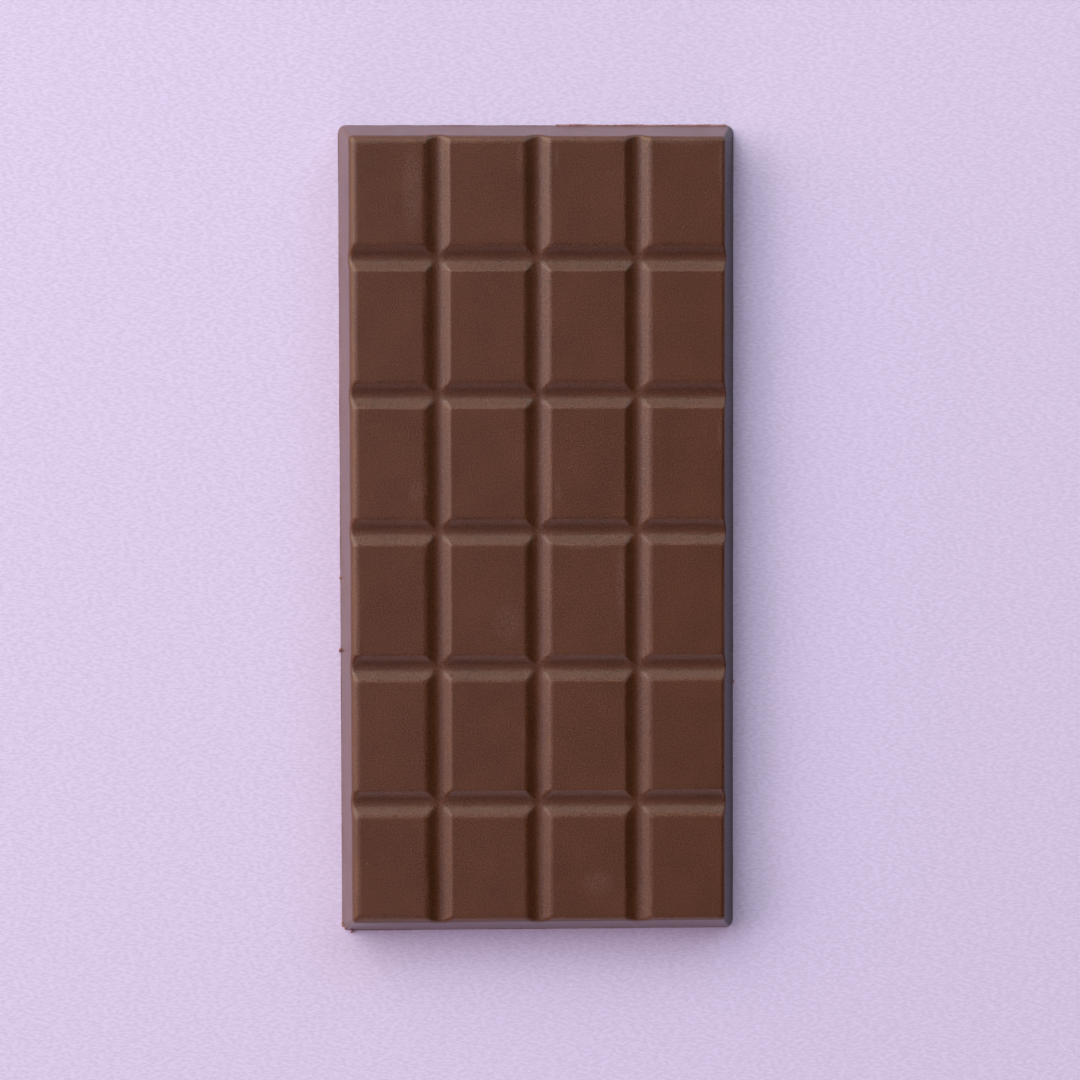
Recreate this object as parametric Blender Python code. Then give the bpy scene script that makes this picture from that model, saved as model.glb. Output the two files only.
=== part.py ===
"""A bar of plain milk chocolate, cast in one piece.

The bar is a flat slab whose four sides lean inwards, so that it drops out of its
mould. Round-bottomed grooves along and across the top mark it into small oblong
pieces that snap apart by hand. The underside is flat.

Lengths are in metres. +Z is up, +Y runs along the bar, and the origin is the
middle of the underside.
"""

import math

import bmesh
import bpy

# The slab. Its width and length are those of the underside, which is the larger face.
BAR_WIDTH = 0.077
BAR_LENGTH = 0.1575
BAR_THICKNESS = 0.0075
SIDE_LEAN = 0.0025          # how far the top edge stands in from the bottom edge
END_LEAN = 0.00295          # the same at the two short ends
BOTTOM_CORNER_RADIUS = 0.0015
TOP_CORNER_RADIUS = 0.0008
TOP_EDGE_RADIUS = 0.00145
BOTTOM_EDGE_BEVEL = 0.0002

# The grooves between the pieces.
COLUMNS = 4
ROWS = 6
COLUMN_PITCH = 0.0193
ROW_PITCH = 0.0264
GROOVE_DEPTH = 0.0013
FLOOR_RADIUS = 0.0020
LIP_RADIUS = 0.0016
LONG_WALL_ANGLE = math.radians(37)
CROSS_WALL_ANGLE = math.radians(34)

# How finely the round stretches are faceted.
CORNER_STEPS = 4
TOP_EDGE_STEPS = 5
LIP_STEPS = 4
FLOOR_STEPS = 4
SMOOTH_ANGLE = math.radians(35)

# The cutters overshoot the slab at its ends and above its top face, and their lips
# rise a hair over that face, so that no cutter face lies in a face of the slab.
CUTTER_OVERSHOOT = 0.004
LIP_RISE = 0.00002

CHOCOLATE_COLOUR = (0.092, 0.034, 0.020, 1.0)
CHOCOLATE_ROUGHNESS = 0.4


def clear_scene():
    for scene_object in list(bpy.data.objects):
        bpy.data.objects.remove(scene_object, do_unlink=True)


def rounded_outline(half_width, half_length, radius):
    """The corners of an oblong, each rounded by a quarter circle, anticlockwise."""
    quadrants = ((1, 1), (-1, 1), (-1, -1), (1, -1))
    outline = []
    for quarter, (side_x, side_y) in enumerate(quadrants):
        for step in range(CORNER_STEPS + 1):
            angle = math.radians(90) * (quarter + step / CORNER_STEPS)
            outline.append((
                side_x * (half_width - radius) + radius * math.cos(angle),
                side_y * (half_length - radius) + radius * math.sin(angle),
            ))
    return outline


def side_section():
    """A long side from the underside to the top face, as pairs of inset and height."""
    section = [
        (BOTTOM_EDGE_BEVEL, 0.0),
        (0.0, BOTTOM_EDGE_BEVEL),
    ]
    side_angle = math.atan2(BAR_THICKNESS, SIDE_LEAN)
    centre_height = BAR_THICKNESS - TOP_EDGE_RADIUS
    centre_inset = SIDE_LEAN * centre_height / BAR_THICKNESS + TOP_EDGE_RADIUS / math.sin(side_angle)
    for step in range(TOP_EDGE_STEPS + 1):
        from_vertical = side_angle * (1 - step / TOP_EDGE_STEPS)
        section.append((
            centre_inset - TOP_EDGE_RADIUS * math.sin(from_vertical),
            centre_height + TOP_EDGE_RADIUS * math.cos(from_vertical),
        ))
    return section


def make_slab():
    """The bar as it would be without its grooves: rings of points joined by faces."""
    slab_mesh = bpy.data.meshes.new("chocolate_bar")
    bm = bmesh.new()
    rings = []
    for inset, height in side_section():
        rise = height / BAR_THICKNESS
        radius = BOTTOM_CORNER_RADIUS + (TOP_CORNER_RADIUS - BOTTOM_CORNER_RADIUS) * rise
        end_inset = inset * END_LEAN / SIDE_LEAN
        outline = rounded_outline(BAR_WIDTH / 2 - inset, BAR_LENGTH / 2 - end_inset, radius)
        rings.append([bm.verts.new((x, y, height)) for x, y in outline])
    bm.faces.new(list(reversed(rings[0])))
    for lower, upper in zip(rings, rings[1:]):
        for index, corner in enumerate(lower):
            after = (index + 1) % len(lower)
            bm.faces.new((corner, lower[after], upper[after], upper[index]))
    bm.faces.new(rings[-1])
    bm.to_mesh(slab_mesh)
    bm.free()
    slab_mesh.shade_smooth()
    slab_mesh.set_sharp_from_angle(angle=SMOOTH_ANGLE)
    slab = bpy.data.objects.new("chocolate_bar", slab_mesh)
    bpy.context.scene.collection.objects.link(slab)
    return slab


def groove_section(wall_angle):
    """A groove's outline across its run, as pairs of offset from its middle and height.

    The floor is a hollow arc that turns up to the angle of the walls. A straight wall
    follows on either side, then a lip that rounds over to end level with the top face.
    """
    depth = GROOVE_DEPTH + LIP_RISE
    both_radii = FLOOR_RADIUS + LIP_RADIUS
    wall = (depth - both_radii * (1 - math.cos(wall_angle))) / math.sin(wall_angle)
    half_width = both_radii * math.sin(wall_angle) + wall * math.cos(wall_angle)
    one_side = []
    for step in range(LIP_STEPS + 1):
        angle = wall_angle * step / LIP_STEPS
        one_side.append((
            half_width - LIP_RADIUS * math.sin(angle),
            BAR_THICKNESS + LIP_RISE - LIP_RADIUS * (1 - math.cos(angle)),
        ))
    for step in range(FLOOR_STEPS):
        angle = wall_angle * (1 - step / FLOOR_STEPS)
        one_side.append((
            FLOOR_RADIUS * math.sin(angle),
            BAR_THICKNESS - GROOVE_DEPTH + FLOOR_RADIUS * (1 - math.cos(angle)),
        ))
    middle = [(0.0, BAR_THICKNESS - GROOVE_DEPTH)]
    other_side = [(-offset, height) for offset, height in reversed(one_side)]
    above = BAR_THICKNESS + CUTTER_OVERSHOOT
    return [(half_width, above)] + one_side + middle + other_side + [(-half_width, above)]


def make_cutter(name, middle, runs_along_bar):
    """A closed bar of the groove's section that runs past both ends of the slab."""
    half_run = (BAR_LENGTH if runs_along_bar else BAR_WIDTH) / 2 + CUTTER_OVERSHOOT
    wall_angle = LONG_WALL_ANGLE if runs_along_bar else CROSS_WALL_ANGLE
    cutter_mesh = bpy.data.meshes.new(name)
    bm = bmesh.new()
    corners = []
    for offset, height in groove_section(wall_angle):
        if runs_along_bar:
            corners.append(bm.verts.new((middle + offset, -half_run, height)))
        else:
            corners.append(bm.verts.new((-half_run, middle + offset, height)))
    end_face = bm.faces.new(corners)
    extruded = bmesh.ops.extrude_face_region(bm, geom=[end_face])
    moved = [item for item in extruded["geom"] if isinstance(item, bmesh.types.BMVert)]
    travel = (0, 2 * half_run, 0) if runs_along_bar else (2 * half_run, 0, 0)
    bmesh.ops.translate(bm, verts=moved, vec=travel)
    bmesh.ops.recalc_face_normals(bm, faces=bm.faces)
    bm.to_mesh(cutter_mesh)
    bm.free()
    cutter_mesh.shade_smooth()
    cutter_mesh.set_sharp_from_angle(angle=SMOOTH_ANGLE)
    cutter = bpy.data.objects.new(name, cutter_mesh)
    bpy.context.scene.collection.objects.link(cutter)
    cutter.display_type = "WIRE"
    cutter.hide_render = True
    return cutter


def groove_middles(count, pitch):
    """Where the grooves between this many pieces lie, counted from the bar's middle."""
    return [(number - count / 2) * pitch for number in range(1, count)]


def cut_groove(slab, cutter):
    cut = slab.modifiers.new(cutter.name, "BOOLEAN")
    cut.operation = "DIFFERENCE"
    cut.solver = "EXACT"
    cut.object = cutter


def chocolate_material():
    material = bpy.data.materials.new("milk_chocolate")
    material.use_nodes = True
    shader = material.node_tree.nodes["Principled BSDF"]
    shader.inputs["Base Color"].default_value = CHOCOLATE_COLOUR
    shader.inputs["Roughness"].default_value = CHOCOLATE_ROUGHNESS
    shader.inputs["Metallic"].default_value = 0.0
    return material


def main():
    clear_scene()
    slab = make_slab()
    slab.data.materials.append(chocolate_material())
    for number, middle in enumerate(groove_middles(COLUMNS, COLUMN_PITCH), start=1):
        cut_groove(slab, make_cutter(f"long_groove_cutter_{number}", middle, True))
    for number, middle in enumerate(groove_middles(ROWS, ROW_PITCH), start=1):
        cut_groove(slab, make_cutter(f"cross_groove_cutter_{number}", middle, False))


main()
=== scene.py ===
# %% [markdown]
# # A bar of milk chocolate
#
# This lesson dresses a plain solid of a chocolate bar. The solid is right in size but
# has flat facets and one colour. We lay a finely moulded bar over it, give it the
# satin skin of tempered chocolate, add the scraps a real bar carries, and light it.

# %% Load the plain bar
import math

import bpy
import numpy as np
from mathutils import Euler, Matrix, Vector


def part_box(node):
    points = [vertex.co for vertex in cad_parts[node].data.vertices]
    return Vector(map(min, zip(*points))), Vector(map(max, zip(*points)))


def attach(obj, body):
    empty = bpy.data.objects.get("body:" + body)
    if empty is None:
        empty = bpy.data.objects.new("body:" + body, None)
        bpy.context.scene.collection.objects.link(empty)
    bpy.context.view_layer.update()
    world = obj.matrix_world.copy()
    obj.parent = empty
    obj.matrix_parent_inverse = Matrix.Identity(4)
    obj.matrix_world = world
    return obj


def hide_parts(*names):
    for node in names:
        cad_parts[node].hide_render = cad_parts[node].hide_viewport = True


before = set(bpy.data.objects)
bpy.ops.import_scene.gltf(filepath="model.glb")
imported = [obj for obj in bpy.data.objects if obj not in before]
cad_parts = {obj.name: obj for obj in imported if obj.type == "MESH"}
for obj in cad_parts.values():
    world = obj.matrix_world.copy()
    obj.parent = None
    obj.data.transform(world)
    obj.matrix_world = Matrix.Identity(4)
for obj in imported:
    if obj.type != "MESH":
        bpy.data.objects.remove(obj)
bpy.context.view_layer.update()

low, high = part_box("chocolate_bar")
WIDTH, LENGTH, THICKNESS = high - low
print(f"The solid is {WIDTH * 1000:.1f} x {LENGTH * 1000:.1f} x {THICKNESS * 1000:.1f} mm")

# %% [markdown]
# ## The sizes of the mould
#
# A bar takes every shape from its mould, so the mould's sizes come first. The sides
# lean in so that the bar drops out. Each groove has a round floor, a straight wall on
# either side and a round lip. The grooves that run across have flatter walls than the
# long ones. A few tenths of a millimetre decide the look, so each size has a name and
# is set only here.

# %% Sizes of the mould
MM = 0.001

COLUMNS, ROWS = 4, 6
COLUMN_PITCH = 19.3 * MM
ROW_PITCH = 26.4 * MM
SIDE_LEAN = 2.5 * MM
END_LEAN = 2.95 * MM
BOTTOM_CORNER_RADIUS = 1.5 * MM
TOP_CORNER_RADIUS = 0.8 * MM

GROOVE_DEPTH = 1.3 * MM
FLOOR_RADIUS = 2.0 * MM
LONG_WALL_ANGLE = math.radians(37)
CROSS_WALL_ANGLE = math.radians(34)
print(f"{COLUMNS} by {ROWS} pieces, each {COLUMN_PITCH / MM} by {ROW_PITCH / MM} mm")

# %% [markdown]
# On this bar the lip of a groove that faces the middle is crisp, and the lip on its
# far side is rounder, more so the further out the groove lies. A likely reason is that
# chocolate shrinks towards the middle as it sets. One side of the bar also leans a
# little more than the other, and its top edge is rounder.

# %% Sizes of the rounded edges
LIP_RADIUS = 1.6 * MM
LONG_LIP_DRIFT = 0.6 * MM  # what the outermost groove's outer lip gains and its inner lip loses
CROSS_LIP_DRIFT = 0.8 * MM
TOP_EDGE_RADIUS = 1.45 * MM
TOP_EDGE_DRIFT = 0.45 * MM  # what the left edge gains and the right edge loses
LEAN_DRIFT = 0.15 * MM
EDGE_WANDER = 0.2 * MM  # how much the top edge's radius changes from place to place
CROSSING_SOFTNESS = 1.4 * MM

RIM_END = SIDE_LEAN + 1.7 * MM  # past here the top edge's rounding has died out
CORNER_LINE_GAP = 0.3 * MM  # between the last two lattice lines of the rim


def groove_half_width(wall_angle, lip_radius):
    """From a groove's middle to where its lip meets the flat."""
    both_radii = FLOOR_RADIUS + lip_radius
    wall = (GROOVE_DEPTH - both_radii * (1 - math.cos(wall_angle))) / math.sin(wall_angle)
    return both_radii * math.sin(wall_angle) + wall * math.cos(wall_angle)


for name, angle in (("long", LONG_WALL_ANGLE), ("cross", CROSS_WALL_ANGLE)):
    width = 2 * groove_half_width(angle, LIP_RADIUS)
    print(f"The {name} grooves are {width / MM:.2f} mm wide")

# %% [markdown]
# ## A flat lattice to mould
#
# The bar starts as a flat sheet of small oblongs, as wide and long as its underside.
# Its lines lie close together where the shape turns fast (the lips, the floors and
# the top edge) and far apart on the flats, so that few faces give smooth curves.

# %% Where the lattice's lines lie
def evenly(start, end, steps):
    """The places that part start and end into equal steps, without end itself."""
    return [start + (end - start) * step / steps for step in range(steps)]


def side_insets():
    """How far in from the outline each line round the side lies."""
    slope = evenly(0, 0.7 * SIDE_LEAN, 7)
    edge = evenly(0.7 * SIDE_LEAN, RIM_END - CORNER_LINE_GAP, 22)
    return slope + edge + [RIM_END - CORNER_LINE_GAP, RIM_END]


def groove_offsets(wall_angle, lip_drift):
    """How far from a groove's middle each line along it lies, from one lip to the other."""
    floor_end = FLOOR_RADIUS * math.sin(wall_angle)
    lip_start = groove_half_width(wall_angle, LIP_RADIUS - lip_drift) - 0.9 * MM
    lip_end = groove_half_width(wall_angle, LIP_RADIUS + lip_drift) + 0.15 * MM
    floor = evenly(0, floor_end, 6)
    wall = evenly(floor_end, lip_start, 2)
    lip = evenly(lip_start, lip_end, 11)
    one_side = floor + wall + lip + [lip_end, lip_end + 0.4 * MM]
    return [-offset for offset in reversed(one_side[1:])] + one_side


def lattice_lines(span, leans, pieces, pitch, offsets, flat_steps):
    """Every line's place across the span, from one outline to the other."""
    middles = [(number - pieces / 2) * pitch for number in range(1, pieces)]
    first, last = ([inset * lean / SIDE_LEAN for inset in side_insets()] for lean in leans)
    lines = [inset - span / 2 for inset in first]
    for middle in middles:
        lines += evenly(lines[-1], middle + offsets[0], flat_steps)[1:]
        lines += [middle + offset for offset in offsets]
    lines += evenly(lines[-1], span / 2 - last[-1], flat_steps)[1:]
    lines += [span / 2 - inset for inset in reversed(last)]
    return np.array(lines)


long_offsets = groove_offsets(LONG_WALL_ANGLE, LONG_LIP_DRIFT)
cross_offsets = groove_offsets(CROSS_WALL_ANGLE, CROSS_LIP_DRIFT)
LEFT_LEAN, RIGHT_LEAN = SIDE_LEAN + LEAN_DRIFT, SIDE_LEAN - LEAN_DRIFT
across = lattice_lines(WIDTH, (LEFT_LEAN, RIGHT_LEAN), COLUMNS, COLUMN_PITCH, long_offsets, 9)
along = lattice_lines(LENGTH, (END_LEAN, END_LEAN), ROWS, ROW_PITCH, cross_offsets, 13)
print(f"The lattice has {len(across)} lines across and {len(along)} along")

# %% [markdown]
# The underside's corners are round, so the lattice's corners are bent to arcs, ring
# by ring. Each point also learns two things the moulding needs: how far in from the
# outline it lies, and which way is outwards. The four sides don't lean alike, so both
# are counted in the measure of the plain side lean.

# %% Bend the corners and build the sheet
def rounded(x, y):
    """The lattice's points with the square corner of each ring bent to an arc."""
    stretch_x = np.where(x < 0, LEFT_LEAN, RIGHT_LEAN) / SIDE_LEAN
    stretch_y = END_LEAN / SIDE_LEAN
    inset_x = (WIDTH / 2 - abs(x)) / stretch_x
    inset_y = (LENGTH / 2 - abs(y)) / stretch_y
    inset = np.minimum(inset_x, inset_y)
    radius = np.interp(
        inset,
        [0, SIDE_LEAN, RIM_END],
        [BOTTOM_CORNER_RADIUS, TOP_CORNER_RADIUS, 0],
    )
    beyond_x = np.maximum(abs(x) - (WIDTH / 2 - inset * stretch_x - radius), 0)
    beyond_y = np.maximum(abs(y) - (LENGTH / 2 - inset * stretch_y - radius), 0)
    in_corner = (beyond_x > 0) & (beyond_y > 0)
    stretch = np.where(in_corner, radius / np.maximum(np.hypot(beyond_x, beyond_y), 1e-9), 1)
    bent_x = np.where(in_corner, np.sign(x) * (abs(x) - beyond_x * (1 - stretch)), x)
    bent_y = np.where(in_corner, np.sign(y) * (abs(y) - beyond_y * (1 - stretch)), y)
    outward_x = np.where(inset_x <= inset_y, np.sign(x) * stretch_x, 0)
    outward_y = np.where(inset_x <= inset_y, 0, np.sign(y) * stretch_y)
    return bent_x, bent_y, inset, outward_x, outward_y


def make_lattice():
    """A closed sheet: the lattice on top, and one face under it round the same outline."""
    x, y = np.meshgrid(across, along)
    bent_x, bent_y, inset, outward_x, outward_y = rounded(x, y)
    rows, columns = x.shape
    points = np.stack([bent_x, bent_y, np.zeros_like(x)], axis=-1).reshape(-1, 3)
    number = np.arange(rows * columns).reshape(rows, columns)
    oblongs = np.stack(
        [number[:-1, :-1], number[:-1, 1:], number[1:, 1:], number[1:, :-1]], axis=-1
    ).reshape(-1, 4)
    outline = np.concatenate(
        [number[0, :-1], number[:-1, -1], number[-1, :0:-1], number[:0:-1, 0]]
    )
    mesh = bpy.data.meshes.new("moulded_bar")
    mesh.from_pydata(points.tolist(), [], oblongs.tolist() + [outline[::-1].tolist()])
    mesh.attributes.new("inset", "FLOAT", "POINT").data.foreach_set("value", inset.ravel())
    outward = np.stack([outward_x, outward_y, np.zeros_like(x)], axis=-1)
    mesh.attributes.new("outward", "FLOAT_VECTOR", "POINT").data.foreach_set(
        "vector", outward.ravel()
    )
    lattice = bpy.data.objects.new("moulded_bar", mesh)
    bpy.context.scene.collection.objects.link(lattice)
    return lattice


moulded_bar = make_lattice()
print(f"The sheet has {len(moulded_bar.data.polygons)} faces")

# %% [markdown]
# ## Helpers for building node trees
#
# The moulding rule is sums, so it is written with Math nodes. Three short helpers keep
# it readable: one adds a node and joins its inputs, one adds a Math node, and one
# gives a tree its named inputs.

# %% Node helpers
def add_node(tree, kind, settings=None, **inputs):
    """Adds a node. Its settings are attributes, and its inputs are values or sockets."""
    node = tree.nodes.new(kind)
    for name, value in (settings or {}).items():
        setattr(node, name, value)
    for name, value in inputs.items():
        join(tree, node.inputs[name.replace("_", " ")], value)
    return node


def join(tree, socket, value):
    """Links an output to a socket, or sets the socket's own value."""
    if isinstance(value, bpy.types.NodeSocket):
        tree.links.new(value, socket)
    else:
        socket.default_value = value


def maths(tree, operation, *values, clamp=False):
    """Adds a Math node and returns its result."""
    node = tree.nodes.new("ShaderNodeMath")
    node.operation = operation
    node.use_clamp = clamp
    for socket, value in zip(node.inputs, values):
        join(tree, socket, value)
    return node.outputs[0]


def new_tree(name, kind, inputs, outputs):
    """A node group with named sockets. Returns it with its input sockets and its output node."""
    tree = bpy.data.node_groups.new(name, kind)
    for label, socket_type, default in inputs:
        socket = tree.interface.new_socket(label, in_out="INPUT", socket_type=socket_type)
        if default is not None:
            socket.default_value = default
    for label, socket_type in outputs:
        tree.interface.new_socket(label, in_out="OUTPUT", socket_type=socket_type)
    entry = tree.nodes.new("NodeGroupInput")
    result = tree.nodes.new("NodeGroupOutput")
    return tree, entry.outputs, result.inputs


def named_attribute(tree, name, data_type):
    """An attribute of the mesh, read by its name."""
    node = add_node(tree, "GeometryNodeInputNamedAttribute", {"data_type": data_type}, Name=name)
    return node.outputs["Attribute"]


# %% [markdown]
# ## The groove's section
#
# Across its run a groove has an arc for a floor, a straight wall that goes on from the
# arc's end, and a smaller arc, bent the other way, for a lip. This group finds the
# nearest groove's middle, measures how far off it a point is, and says how deep the
# chocolate is carved there. The grooves repeat at a pitch, so one rule makes them all.
#
# Rounding an edge always takes away the same amount: the sagitta of an arc. It has its
# own small helper, because the lips and the top edge both use it. Another helper marks
# the crest of the arc, because that is where a bar gets rubbed.

# %% Node group: how deep a groove is at a point
def arc_drop(tree, radius, distance, reach):
    """How far an arc has dropped at a distance along its tangent, up to its reach."""
    along_tangent = maths(tree, "MINIMUM", maths(tree, "MAXIMUM", distance, 0), reach)
    squared = maths(tree, "MULTIPLY", along_tangent, along_tangent)
    left = maths(tree, "SUBTRACT", maths(tree, "MULTIPLY", radius, radius), squared)
    return maths(tree, "SUBTRACT", radius, maths(tree, "SQRT", maths(tree, "MAXIMUM", left, 0)))


def crest(tree, distance, reach):
    """1 at the middle of an arc and 0 at both its ends, to mark the edge it rounds."""
    through = maths(tree, "DIVIDE", distance, reach, clamp=True)
    return maths(tree, "MULTIPLY", maths(tree, "PINGPONG", through, 0.5), 2)


def groove_section_group():
    tree, sizes, result = new_tree(
        "Groove section",
        "GeometryNodeTree",
        [
            ("Place", "NodeSocketFloat", 0.0),
            ("Pieces", "NodeSocketInt", 4),
            ("Pitch", "NodeSocketFloat", COLUMN_PITCH),
            ("Groove Depth", "NodeSocketFloat", GROOVE_DEPTH),
            ("Floor Radius", "NodeSocketFloat", FLOOR_RADIUS),
            ("Wall Angle", "NodeSocketFloat", LONG_WALL_ANGLE),
            ("Lip Radius", "NodeSocketFloat", LIP_RADIUS),
            ("Lip Drift", "NodeSocketFloat", LONG_LIP_DRIFT),
        ],
        [("Carved", "NodeSocketFloat"), ("Lip", "NodeSocketFloat")],
    )
    half_pieces = maths(tree, "MULTIPLY", sizes["Pieces"], 0.5)
    last_groove = maths(tree, "SUBTRACT", sizes["Pieces"], 1)
    in_pitches = maths(tree, "DIVIDE", sizes["Place"], sizes["Pitch"])
    nearest = maths(tree, "ROUND", maths(tree, "ADD", in_pitches, half_pieces))
    nearest = maths(tree, "MINIMUM", maths(tree, "MAXIMUM", nearest, 1), last_groove)
    from_the_middle = maths(tree, "SUBTRACT", nearest, half_pieces)
    middle = maths(tree, "MULTIPLY", from_the_middle, sizes["Pitch"])
    signed_offset = maths(tree, "SUBTRACT", sizes["Place"], middle)
    offset = maths(tree, "ABSOLUTE", signed_offset)

    outwards = maths(tree, "MULTIPLY", maths(tree, "SIGN", signed_offset), from_the_middle)
    outwards = maths(tree, "DIVIDE", outwards, maths(tree, "SUBTRACT", half_pieces, 1))
    lip_radius = maths(tree, "MULTIPLY_ADD", outwards, sizes["Lip Drift"], sizes["Lip Radius"])

    sine = maths(tree, "SINE", sizes["Wall Angle"])
    tangent = maths(tree, "TANGENT", sizes["Wall Angle"])
    half_tangent = maths(tree, "TANGENT", maths(tree, "MULTIPLY", sizes["Wall Angle"], 0.5))
    floor_end = maths(tree, "MULTIPLY", sizes["Floor Radius"], sine)
    floor_rise = arc_drop(tree, sizes["Floor Radius"], offset, floor_end)
    past_floor = maths(tree, "MAXIMUM", maths(tree, "SUBTRACT", offset, floor_end), 0)
    rise = maths(tree, "MULTIPLY_ADD", past_floor, tangent, floor_rise)
    wall_carved = maths(tree, "SUBTRACT", sizes["Groove Depth"], rise)

    whole_floor_rise = arc_drop(tree, sizes["Floor Radius"], floor_end, floor_end)
    wall_rise = maths(tree, "SUBTRACT", sizes["Groove Depth"], whole_floor_rise)
    crease = maths(tree, "ADD", floor_end, maths(tree, "DIVIDE", wall_rise, tangent))
    half_width = maths(tree, "MULTIPLY_ADD", lip_radius, half_tangent, crease)
    from_flat = maths(tree, "SUBTRACT", half_width, offset)
    lip_reach = maths(tree, "MULTIPLY", lip_radius, sine)
    lip_carved = arc_drop(tree, lip_radius, from_flat, lip_reach)
    tree.links.new(maths(tree, "MAXIMUM", wall_carved, lip_carved), result["Carved"])
    tree.links.new(crest(tree, from_flat, lip_reach), result["Lip"])
    return tree


groove_section = groove_section_group()
print(f"{groove_section.name} has {len(groove_section.nodes)} nodes")

# %% [markdown]
# ## The moulding rule
#
# Three moves turn the flat lattice into the bar. First, the grooves that run out at
# a leaning side end a little further out than the flats do, so the lattice's lines
# slide out to meet them. Second, each point rises to the lower of two heights: the
# carved top, or the leaning side. Third, the edge where the two meet is rounded by the
# same arc rule as the lips. Where two grooves cross, the deeper one wins, which gives
# the pieces their mitred corners, and the crease between the two grooves is softened.
#
# No mould is perfect, and chocolate shrinks as it sets. Slow noise bends the lips
# by some hundredths of a millimetre and makes the flats swell a little, which is
# what breaks up the reflections on a real bar.
#
# The tree also stores three marks on the mesh, which the chocolate's finish reads: the
# lips of the grooves, the rounded top edge, and the leaning sides.

# %% Node tree: mould the bar
LIP_SWELLS = 14 * MM  # how far apart the bends of a lip are
EDGE_SWELLS = 16 * MM
TOP_SWELLS = 22 * MM
LIP_MARK_END = 0.3 * MM  # a lip's mark dies out where the other groove is this deep
SIDE_MARK_END = 0.4 * MM


def wander(tree, size, amount, seed):
    """Slow noise from minus to plus the amount, whose swells are about the size apart."""
    noise = add_node(
        tree, "ShaderNodeTexNoise", {"noise_dimensions": "4D"}, Scale=1 / size, Detail=1.0, W=seed
    )
    centred = maths(tree, "MULTIPLY_ADD", noise.outputs["Fac"], 3, -1.5)
    return maths(tree, "MULTIPLY", centred, amount)


def carved_depth(tree, sizes, place):
    """How deep both families of grooves carve each point, and where their lips are."""
    carved, lips = [], []
    for label, axis in (("Column", "X"), ("Row", "Y")):
        seed = maths(tree, "ADD", sizes["Seed"], len(carved))
        drift = wander(tree, LIP_SWELLS, sizes["Lip Wander"], seed)
        section = add_node(tree, "GeometryNodeGroup", {"node_tree": groove_section})
        join(tree, section.inputs["Place"], maths(tree, "ADD", place[axis], drift))
        join(tree, section.inputs["Pieces"], sizes[label + "s"])
        for size in ("Pitch", "Wall Angle", "Lip Drift"):
            join(tree, section.inputs[size], sizes[f"{label} {size}"])
        for size in ("Groove Depth", "Floor Radius", "Lip Radius"):
            join(tree, section.inputs[size], sizes[size])
        carved.append(section.outputs["Carved"])
        lips.append(section.outputs["Lip"])
    both = maths(tree, "DIVIDE", maths(tree, "MINIMUM", *carved), sizes["Groove Depth"])
    fade_in = maths(tree, "POWER", both, 0.4)
    fade_out = maths(tree, "MULTIPLY_ADD", both, -0.6, 1)
    fade = maths(tree, "MULTIPLY", fade_in, fade_out)
    softness = maths(tree, "MULTIPLY", fade, sizes["Crossing Softness"])
    deepest = maths(tree, "SMOOTH_MAX", *carved, softness)
    shallowest = maths(tree, "MINIMUM", *carved)
    inside_other = maths(tree, "DIVIDE", shallowest, LIP_MARK_END, clamp=True)
    lip = maths(tree, "MAXIMUM", *lips)
    return deepest, maths(tree, "MULTIPLY", lip, maths(tree, "SUBTRACT", 1, inside_other))


def slide_outwards(tree, sizes, inset, carve, lean_ratio):
    """How far the lattice's lines slide out to meet a groove's end on the leaning side."""
    up_the_side = maths(tree, "DIVIDE", inset, sizes["Side Lean"], clamp=True)
    past_the_edge = add_node(
        tree,
        "ShaderNodeMapRange",
        Value=inset,
        From_Min=sizes["Side Lean"],
        From_Max=sizes["Rim End"],
        To_Min=1.0,
        To_Max=0.0,
    ).outputs["Result"]
    hold = maths(tree, "MULTIPLY", up_the_side, past_the_edge)
    return maths(tree, "MULTIPLY", maths(tree, "MULTIPLY", carve, lean_ratio), hold)


def rounded_height(tree, sizes, place_x, inset, top, carve, lean_ratio):
    """The lower of the carved top and the leaning side, and the marks of edge and side."""
    across = maths(tree, "DIVIDE", place_x, maths(tree, "MULTIPLY", sizes["Width"], -0.5))
    radius = maths(tree, "MULTIPLY_ADD", across, sizes["Top Edge Drift"], sizes["Top Edge Radius"])
    edge_seed = maths(tree, "ADD", sizes["Seed"], 9)
    wandering = wander(tree, EDGE_SWELLS, sizes["Edge Wander"], edge_seed)
    radius = maths(tree, "ADD", radius, wandering)
    in_groove = maths(tree, "DIVIDE", carve, sizes["Groove Depth"])
    radius = maths(tree, "MULTIPLY", radius, maths(tree, "MULTIPLY_ADD", in_groove, -0.6, 1))

    side_angle = maths(tree, "ARCTANGENT", maths(tree, "DIVIDE", 1, lean_ratio))
    half_tangent = maths(tree, "TANGENT", maths(tree, "MULTIPLY", side_angle, 0.5))
    edge = maths(tree, "MULTIPLY", top, lean_ratio)
    rounding_end = maths(tree, "MULTIPLY_ADD", radius, half_tangent, edge)
    from_flat = maths(tree, "SUBTRACT", rounding_end, inset)
    reach = maths(tree, "MULTIPLY", radius, maths(tree, "SINE", side_angle))
    rounded_top = maths(tree, "SUBTRACT", top, arc_drop(tree, radius, from_flat, reach))
    side = maths(tree, "DIVIDE", inset, lean_ratio)
    height = maths(tree, "MAXIMUM", maths(tree, "MINIMUM", rounded_top, side), 0)
    above_side = maths(tree, "SUBTRACT", rounded_top, side)
    side_mark = maths(tree, "DIVIDE", above_side, SIDE_MARK_END, clamp=True)
    return height, crest(tree, from_flat, reach), side_mark


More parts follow.
